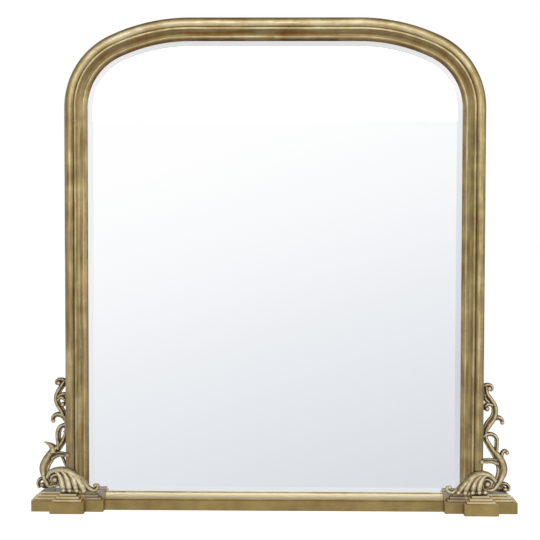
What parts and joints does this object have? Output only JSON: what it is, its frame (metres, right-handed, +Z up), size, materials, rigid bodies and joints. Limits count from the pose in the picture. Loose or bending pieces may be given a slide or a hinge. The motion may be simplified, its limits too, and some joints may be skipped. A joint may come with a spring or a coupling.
{
  "type": "overmantel mirror",
  "caption": "Arched overmantel mirror: bevelled plate in a moulded antique gold frame on stepped breakfront plinths, with acanthus scrolls and hanging rings.",
  "frame": {"origin": "on the supporting surface, below the middle of the part's bounding box", "axes": "+Z up, +X to the right of someone facing the glass, +Y to the wall; the glass faces -Y"},
  "size_m": [1.23, 0.108, 1.25],
  "materials": {
    "gilt_wood": "antique gold leaf over gesso, rubbed and toned",
    "gilt_resin": "cast resin, antique gold leaf, rubbed and toned",
    "beech": "turned, bare",
    "silvered_glass": "polished, bevelled edge",
    "grey_felt": "pressed felt",
    "fibreboard": "bare fibreboard",
    "zinc_steel": "zinc plated",
    "black_rubber": "moulded"
  },
  "bodies": {
    "frame": {"acanthus_leaf_left": "gilt_resin", "acanthus_leaf_right": "gilt_resin", "arch_corner_left": "gilt_wood", "arch_corner_right": "gilt_wood", "backboard": "fibreboard", "backboard_screws": "zinc_steel", "backing_felt": "grey_felt", "base_rail": "gilt_wood", "cap_pins": "zinc_steel", "foot_dowels": "beech", "hanger_screws": "zinc_steel", "hanger_strap_left": "zinc_steel", "hanger_strap_right": "zinc_steel", "lower_scroll_left": "gilt_resin", "lower_scroll_right": "gilt_resin", "mirror_plate": "silvered_glass", "plinth_cap_left": "gilt_wood", "plinth_cap_right": "gilt_wood", "plinth_lower_step_left": "gilt_wood", "plinth_lower_step_right": "gilt_wood", "plinth_slab_left": "gilt_wood", "plinth_slab_right": "gilt_wood", "plinth_upper_step_left": "gilt_wood", "plinth_upper_step_right": "gilt_wood", "rail_dowels": "beech", "scroll_pins": "zinc_steel", "setting_blocks": "black_rubber", "spring_dowels": "beech", "stile_left": "gilt_wood", "stile_right": "gilt_wood", "top_rail": "gilt_wood", "upper_scroll_left": "gilt_resin", "upper_scroll_right": "gilt_resin", "wall_bumpers": "black_rubber"},
    "ring_left": {"d_ring_left": "zinc_steel"},
    "ring_right": {"d_ring_right": "zinc_steel"}
  },
  "joints": [
    {"name": "ring_left_swing", "type": "hinge", "parent": "frame", "child": "ring_left", "pos_m": [-0.5155, 0.04986, 0.905], "axis": [1, 0, 0], "range_deg": [0, 178]},
    {"name": "ring_right_swing", "type": "hinge", "parent": "frame", "child": "ring_right", "pos_m": [0.5155, 0.04986, 0.905], "axis": [1, 0, 0], "range_deg": [0, 178]}
  ]
}
